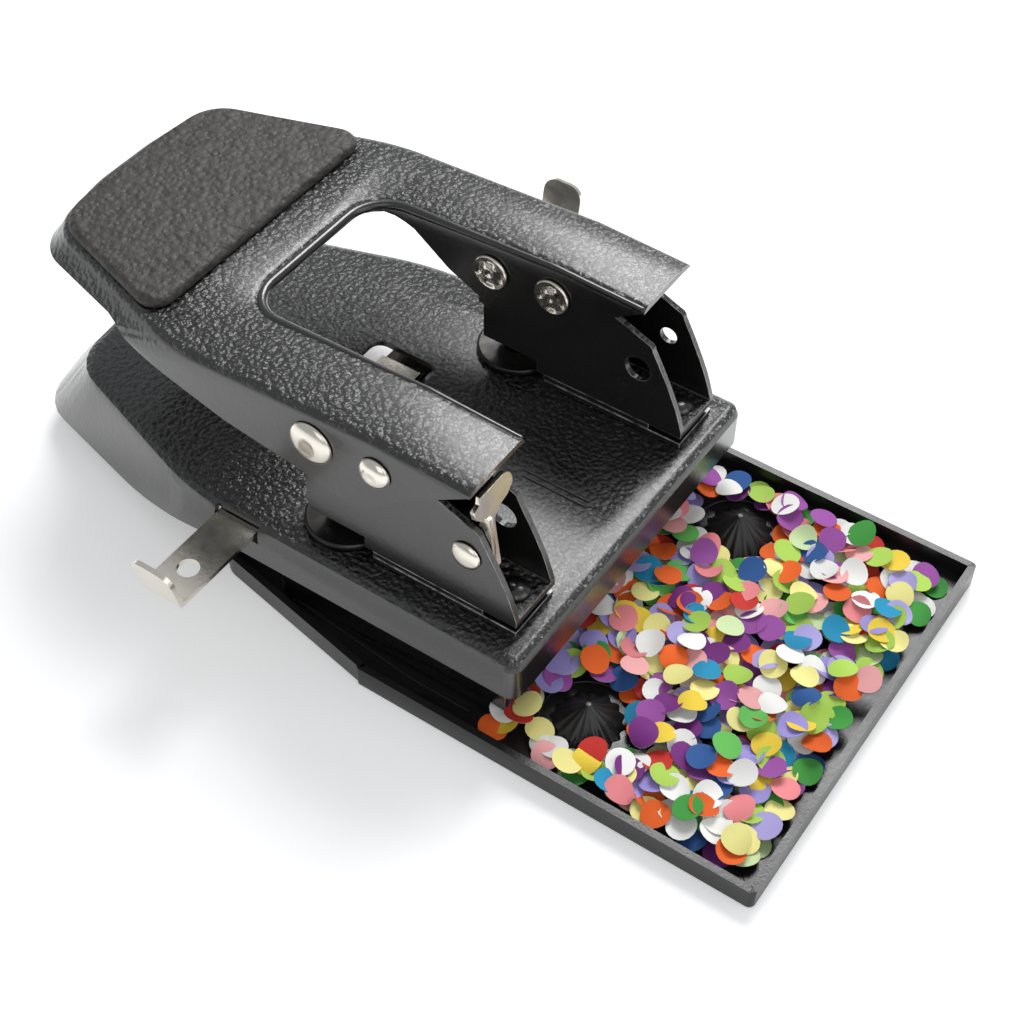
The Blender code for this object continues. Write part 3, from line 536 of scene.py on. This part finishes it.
class HOLEPUNCH_OT_bright_parts(bpy.types.Operator):
    """Finishes the nickel pieces: pins, latch, latch rivet and side guides"""
    bl_idname = "hole_punch.bright_parts"
    bl_label = "Nickel parts"

    def execute(self, context):
        nickel = nickel_plate()
        clean_copy("latch", "thumb_latch", nickel, 0.3 * MM)
        clean_copy("latch_rivet", "base", nickel, 0.0, 50.0)
        for side, sign in SIDES:
            clean_copy("paper_guide_" + side, "guide_" + side, nickel, 0.25 * MM)
            for node in ("pivot_pin_", "drive_pin_"):
                self.pin(node, side, sign, nickel)
        return {"FINISHED"}

    def pin(self, node, side, sign, finish):
        """A pin turned about X: a low dome with a soft dimple outside, the shank, and inside it a tail with a
        raised rim, a middle boss and four hollows between them: the hollows' depth follows the cosine of four
        times the angle, and is greatest at one distance from the pin's middle."""
        low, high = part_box(node + side)
        y, z = (low.y + high.y) / 2, (low.z + high.z) / 2
        outer = max(abs(low.x), abs(high.x))
        arcs = np.linspace(0, np.pi / 2, 14)
        dimple = 0.35 * MM * np.exp(-(np.sin(arcs) / 0.35) ** 2)
        dome_along = outer - DOME_HEIGHT * (1 - np.cos(arcs)) - dimple
        dome_about = DOME_RADIUS[node] * np.sin(arcs)
        tail = np.array(PIN_TAIL_MM) * MM
        along = np.concatenate([dome_along, [outer - DOME_HEIGHT], tail[:, 0]])[:, None]
        about = np.concatenate([dome_about, [SHANK_RADIUS_MM * MM], tail[:, 1]])[:, None]
        turn = np.linspace(0, 2 * np.pi, 72, endpoint=False)[None, :]
        crimped = (along < 23.3 * MM) & (along > 22.0 * MM)
        hollow = np.exp(-((about - 3.1 * MM) / (0.75 * MM)) ** 2) * crimped
        depth = 0.42 * MM * hollow * np.clip(np.cos(4 * turn) * 1.6 + 0.6, 0, 1)
        points = np.stack([sign * (along + depth), y + about * np.cos(turn), z + about * np.sin(turn)], axis=-1)
        piece = add_piece(node + side + "_finish", grid_mesh(node, points, close_v=True), finish, "handle",
                          50.0)
        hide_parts(node + side)


class HOLEPUNCH_OT_steel_parts(bpy.types.Operator):
    """Finishes the dies, punches and guide bushes and winds the return springs"""
    bl_idname = "hole_punch.steel_parts"
    bl_label = "Steel parts"

    def execute(self, context):
        steel = ground_steel()
        for side, sign in SIDES:
            clean_copy("die_" + side, "base", blued_steel(), 0.3 * MM)
            clean_copy("punch_guide_" + side, "base", steel, 0.2 * MM)
            clean_copy("punch_" + side, "punch_unit_" + side, steel, 0.2 * MM)
            self.spring(side, sign, steel)
        return {"FINISHED"}

    def spring(self, side, sign, finish):
        """A coil: the wire's middle turns about the punch while it climbs, slowly in its first and last
        turn."""
        low, high = SPRING_BOX[0].z, SPRING_BOX[1].z
        wire, radius, turns = 0.5 * MM, 4.6 * MM, 6
        angle = np.linspace(0, turns, turns * 40 + 1)
        flat = 2.3 * wire / (high - low - 2 * wire)
        climb = np.interp(angle, [0, 1, turns - 1, turns], [0, flat, 1 - flat, 1])
        height = low + wire + (high - low - 2 * wire) * climb
        path = np.column_stack([sign * HEAD_X + radius * np.cos(2 * np.pi * angle),
                                PUNCH_Y + radius * np.sin(2 * np.pi * angle), height])
        piece = add_piece("return_spring_%s_coil" % side, tube_along("coil", path, wire, 10), finish, "base",
                          60.0)
        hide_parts("return_spring_" + side)
        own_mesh(piece)


class HOLEPUNCH_OT_chip_tray(bpy.types.Operator):
    """Finishes the chip tray, with its fluted cones and the ribs on its floor"""
    bl_idname = "hole_punch.chip_tray"
    bl_label = "Chip tray"

    def execute(self, context):
        plastic = tray_plastic()
        clean_copy("chip_tray", "tray", plastic, 0.3 * MM, 30.0)
        for side, sign in SIDES:
            self.fluted_cone(side, sign, plastic)
            self.floor_rib(side, sign, plastic)
        return {"FINISHED"}

    def fluted_cone(self, side, sign, finish):
        """Sixteen shallow flutes on a cone: the radius falls with height and swells with the cosine of
        sixteen times the angle, least near the tip."""
        turn = np.linspace(0, 2 * np.pi, 128, endpoint=False)
        share = np.concatenate([np.linspace(0, 0.96, 14), [1.0]])[:, None]
        radius = (8.35 * MM) * (1 - share) ** 0.92 + 0.25 * MM * (share < 1)
        radius = radius * (1 + 0.05 * np.cos(16 * turn)[None, :] * (1 - share ** 3))
        height = TRAY_FLOOR - 0.1 * MM + (7.15 * MM) * share
        x, y = sign * HEAD_X, CONE_Y
        points = np.stack([x + radius * np.cos(turn), y + radius * np.sin(turn),
                           np.broadcast_to(height, radius.shape)], axis=-1)
        mesh = grid_mesh("fluted_cone", points, close_v=True, cap_start=True, cap_end=True)
        add_piece("fluted_cone_" + side, mesh, finish, "tray", 25.0)
        ring_turn = np.linspace(0, 2 * np.pi, 73)
        path = np.column_stack([x + 11.5 * MM * np.cos(ring_turn), y + 11.5 * MM * np.sin(ring_turn),
                                np.full(73, TRAY_FLOOR)])
        add_piece("cone_ring_" + side, tube_along("cone_ring", path, 0.3 * MM, 8), finish, "tray",
                  60.0)

    def floor_rib(self, side, sign, finish):
        """A low bar on the floor that bends in towards the tray's rear."""
        line = even_spacing(rounded_path([(48 * MM, 14 * MM, 0), (48 * MM, 30 * MM, 40 * MM),
                                          (44.3 * MM, 72 * MM, 0)], 10), 30)
        path = np.column_stack([sign * line[:, 0], line[:, 1], np.full(30, TRAY_FLOOR)])
        add_piece("floor_rib_" + side, tube_along("floor_rib", path, 0.4 * MM, 8), finish, "tray",
                  60.0)


class HOLEPUNCH_OT_paper_chips(bpy.types.Operator):
    """Drops the loose paper discs into the tray"""
    bl_idname = "hole_punch.paper_chips"
    bl_label = "Paper chips"

    COLORS = (
        (0.86, 0.86, 0.83), (0.86, 0.86, 0.83), (0.86, 0.86, 0.83), (0.80, 0.13, 0.02), (0.80, 0.13, 0.02),
        (0.85, 0.62, 0.06), (0.86, 0.80, 0.30), (0.86, 0.80, 0.30), (0.40, 0.62, 0.10), (0.40, 0.62, 0.10),
        (0.06, 0.33, 0.06), (0.13, 0.47, 0.10), (0.36, 0.31, 0.70), (0.45, 0.40, 0.76), (0.18, 0.03, 0.20),
        (0.80, 0.25, 0.27), (0.84, 0.40, 0.40), (0.02, 0.27, 0.47), (0.03, 0.10, 0.30), (0.60, 0.04, 0.03),
        (0.62, 0.78, 0.42), (0.30, 0.08, 0.33))

    def execute(self, context):
        """Discs lie where chance puts them, each on top of the ones it covers, tilted towards its lower side.
        A disc is a round grid whose height rises with the square of the distance across its curl line."""
        look = context.scene.hole_punch_chips
        rng = np.random.default_rng(27)
        spots, layers = self.scatter(rng, look)
        count = len(spots)
        rings = np.array([0.0, 0.35, 0.7, 1.0])
        around = np.linspace(0, 2 * np.pi, 18, endpoint=False)
        flat_x = np.concatenate([[0.0]] + [r * np.cos(around) for r in rings[1:]]) * look.radius
        flat_y = np.concatenate([[0.0]] + [r * np.sin(around) for r in rings[1:]]) * look.radius
        heading = rng.uniform(0, 2 * np.pi, count)
        bend = look.curl * rng.uniform(0.15, 1.0, count) * np.where(rng.random(count) < 0.3, -1, 1)
        across = flat_x[None, :] * np.cos(heading)[:, None] + flat_y[None, :] * np.sin(heading)[:, None]
        lift = bend[:, None] * (across / look.radius) ** 2
        lift -= lift.min(axis=1, keepdims=True)
        tilt = np.radians(rng.uniform(0, 14, count) + 3.0 * np.minimum(layers, 3))
        lean = rng.uniform(0, 2 * np.pi, count)
        slope = flat_x[None, :] * np.cos(lean)[:, None] + flat_y[None, :] * np.sin(lean)[:, None]
        rise = slope * np.sin(tilt)[:, None]
        rise -= rise.min(axis=1, keepdims=True)
        thick = 0.11 * MM
        base = TRAY_FLOOR + 0.12 * MM + layers * 0.62 * MM
        x = spots[:, :1] + flat_x[None, :]
        y = spots[:, 1:2] + flat_y[None, :]
        lower = np.stack([x, y, base[:, None] + lift + rise], axis=-1)
        upper = lower + np.array([0, 0, thick])
        per = len(flat_x)
        points = np.concatenate([upper, lower], axis=1).reshape(-1, 3)
        faces = self.disc_faces(per, len(around), len(rings) - 1)
        offsets = np.arange(count) * 2 * per
        all_faces = []
        for kind in faces:
            block = (np.array(kind)[None] + offsets[:, None, None]).reshape(-1, len(kind[0]))
            all_faces.extend(block.tolist())
        mesh = bpy.data.meshes.new("paper_chips")
        mesh.from_pydata(points.tolist(), [], all_faces)
        palette = np.array(self.COLORS)
        pick = rng.integers(0, len(palette), count)
        shade = palette[pick] * rng.uniform(0.85, 1.08, (count, 1))
        back = np.where(rng.random((count, 1)) < 0.5, np.array([[0.84, 0.84, 0.8]]), shade)
        per_point = np.concatenate([np.repeat(shade[:, None], per, 1),
                                    np.repeat(back[:, None], per, 1)], axis=1)
        rgba = np.concatenate([per_point.reshape(-1, 3), np.ones((count * 2 * per, 1))], axis=1)
        layer = mesh.attributes.new("chip_color", "FLOAT_COLOR", "POINT")
        layer.data.foreach_set("color", np.clip(rgba, 0, 1).astype(np.float32).ravel())
        piece = bpy.data.objects.new("paper_chips", mesh)
        context.scene.collection.objects.link(piece)
        mesh.materials.append(chip_paper())
        mesh.shade_smooth()
        mesh.set_sharp_from_angle(angle=math.radians(50.0))
        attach(piece, "tray")
        return {"FINISHED"}

    def scatter(self, rng, look):
        """Points over the open tray, with the number of discs below each."""
        half = TRAY_BOX[1].x - TRAY_WALL - look.radius - 0.6 * MM
        front = TRAY_BOX[0].y + TRAY_WALL + look.radius + 0.6 * MM
        rear = 7.0 * MM
        tries = rng.uniform([-half, front], [half, rear], (look.count * 3, 2))
        cone = np.minimum(np.hypot(tries[:, 0] - HEAD_X, tries[:, 1] - CONE_Y),
                          np.hypot(tries[:, 0] + HEAD_X, tries[:, 1] - CONE_Y))
        keep = tries[cone > 8.8 * MM + look.radius * 0.75]
        spots, layers = [], []
        for spot in keep:
            if len(spots) == look.count:
                break
            gaps = np.hypot(*(np.array(spots) - spot).T) if spots else np.array([1.0])
            near = gaps < 1.75 * look.radius
            depth = max([layers[k] for k in np.nonzero(near)[0]], default=-1) + 1
            if depth > 7 or (gaps < 0.62 * look.radius).any():
                continue
            spots.append(spot)
            layers.append(depth)
        return np.array(spots), np.array(layers)

    @staticmethod
    def disc_faces(per, sides, rings):
        """Triangles round the middle and quads between rings on both faces of a disc, and its thin rim."""
        step = np.arange(sides)
        after = (step + 1) % sides
        fan_top = np.stack([np.zeros(sides, int), 1 + step, 1 + after], axis=1)
        fan_low = np.stack([np.full(sides, per), per + 1 + after, per + 1 + step], axis=1)
        quads = []
        for ring in range(rings - 1):
            a, b = 1 + ring * sides, 1 + (ring + 1) * sides
            quads.append(np.stack([a + step, b + step, b + after, a + after], axis=1))
            quads.append(np.stack([per + a + after, per + b + after, per + b + step, per + a + step], axis=1))
        edge = 1 + (rings - 1) * sides
        quads.append(np.stack([edge + step, per + edge + step, per + edge + after, edge + after], axis=1))
        return [np.vstack([fan_top, fan_low]).tolist(), np.vstack(quads).tolist()]


class HOLEPUNCH_OT_stage(bpy.types.Operator):
    """Sets out the pale floor, the soft studio lights and the camera"""
    bl_idname = "hole_punch.stage"
    bl_label = "Stage"

    def execute(self, context):
        self.floor(context)
        self.world(context)
        middle = Vector((0.0, 0.03, 0.03))
        self.lamp("key", middle + Vector((0.68, 0.19, 0.84)), middle, 0.56, 10.5)
        self.lamp("fill", middle + Vector((-0.75, -0.55, 0.75)), middle, 0.9, 2.0)
        self.lamp("rim", middle + Vector((0.1, -1.0, 0.55)), middle, 0.8, 2.2)
        self.camera(context)
        return {"FINISHED"}

    def floor(self, context):
        half = 6.0
        corners = np.array([[-half, -half, 0], [half, -half, 0], [half, half, 0], [-half, half, 0]], float)
        mesh = bpy.data.meshes.new("floor")
        mesh.from_pydata((corners - [0, 0, 0.02 * MM]).tolist(), [], [(0, 1, 2, 3)])
        made, _, _, _ = new_material("floor_white", (0.9, 0.9, 0.9), 0.9, Specular_IOR_Level=0.1,
                                     Emission_Color=(1.0, 1.0, 1.0, 1.0), Emission_Strength=0.3)
        mesh.materials.append(made)
        piece = bpy.data.objects.new("floor", mesh)
        context.scene.collection.objects.link(piece)

    def world(self, context):
        sky = bpy.data.worlds.new("studio")
        sky.use_nodes = True
        sky.node_tree.nodes["Background"].inputs["Color"].default_value = (0.95, 0.97, 1.0, 1.0)
        sky.node_tree.nodes["Background"].inputs["Strength"].default_value = 0.45
        context.scene.world = sky
        context.scene.view_settings.view_transform = "Standard"

    def lamp(self, name, place, target, size, power):
        data = bpy.data.lights.new(name, "AREA")
        data.shape = "SQUARE"
        data.size = size
        data.energy = power
        lamp = bpy.data.objects.new(name, data)
        lamp.location = place
        lamp.rotation_mode = "QUATERNION"
        lamp.rotation_quaternion = (target - place).to_track_quat("-Z", "Y")
        bpy.context.scene.collection.objects.link(lamp)

    def camera(self, context):
        """The camera looks down from the left and front, 48 degrees above the floor."""
        azimuth, height, roll = math.radians(-56.25), math.radians(48.22), math.radians(0.7)
        target = Vector((60.0, 75.01, -67.51)) * MM
        back = Vector((math.sin(azimuth) * math.cos(height), -math.cos(azimuth) * math.cos(height),
                       math.sin(height)))
        data = bpy.data.cameras.new("camera")
        data.sensor_width = 36.0
        data.lens = 65.56
        data.clip_start = 0.02
        camera = bpy.data.objects.new("camera", data)
        right = Vector((math.cos(azimuth), math.sin(azimuth), 0.0))
        up = back.cross(right)
        side = right * math.cos(roll) + up * math.sin(roll)
        above = up * math.cos(roll) - right * math.sin(roll)
        place = Matrix((side, above, back)).transposed().to_4x4()
        place.translation = target + back * 564.91 * MM
        camera.matrix_world = place
        context.scene.collection.objects.link(camera)
        context.scene.camera = camera


class HOLEPUNCH_PT_panel(bpy.types.Panel):
    """Sizes, colours and the steps that build the punch"""
    bl_idname = "HOLEPUNCH_PT_panel"
    bl_label = "Desk punch"
    bl_space_type = "VIEW_3D"
    bl_region_type = "UI"
    bl_category = "Punch"

    def draw(self, context):
        for group in GROUPS:
            settings = getattr(context.scene, GROUPS[group])
            for name in group.__annotations__:
                self.layout.prop(settings, name)
        for step in STEPS:
            self.layout.operator(step.bl_idname)


GROUPS = {HolePunchPaint: "hole_punch_paint", HolePunchPad: "hole_punch_pad",
          HolePunchBright: "hole_punch_bright", HolePunchChips: "hole_punch_chips"}
STEPS = (HOLEPUNCH_OT_painted_sheet, HOLEPUNCH_OT_handle_pad, HOLEPUNCH_OT_bright_parts,
         HOLEPUNCH_OT_steel_parts, HOLEPUNCH_OT_chip_tray, HOLEPUNCH_OT_paper_chips, HOLEPUNCH_OT_stage)


def register():
    for group, name in GROUPS.items():
        bpy.utils.register_class(group)
        setattr(bpy.types.Scene, name, bpy.props.PointerProperty(type=group))
    for step in STEPS:
        bpy.utils.register_class(step)
    bpy.utils.register_class(HOLEPUNCH_PT_panel)


def unregister():
    bpy.utils.unregister_class(HOLEPUNCH_PT_panel)
    for step in reversed(STEPS):
        bpy.utils.unregister_class(step)
    for group, name in GROUPS.items():
        delattr(bpy.types.Scene, name)
        bpy.utils.unregister_class(group)


def main():
    """Builds every piece in order."""
    register()
    bpy.ops.hole_punch.painted_sheet()
    bpy.ops.hole_punch.handle_pad()
    bpy.ops.hole_punch.bright_parts()
    bpy.ops.hole_punch.steel_parts()
    bpy.ops.hole_punch.chip_tray()
    bpy.ops.hole_punch.paper_chips()
    bpy.ops.hole_punch.stage()


if __name__ == "__main__":
    main()
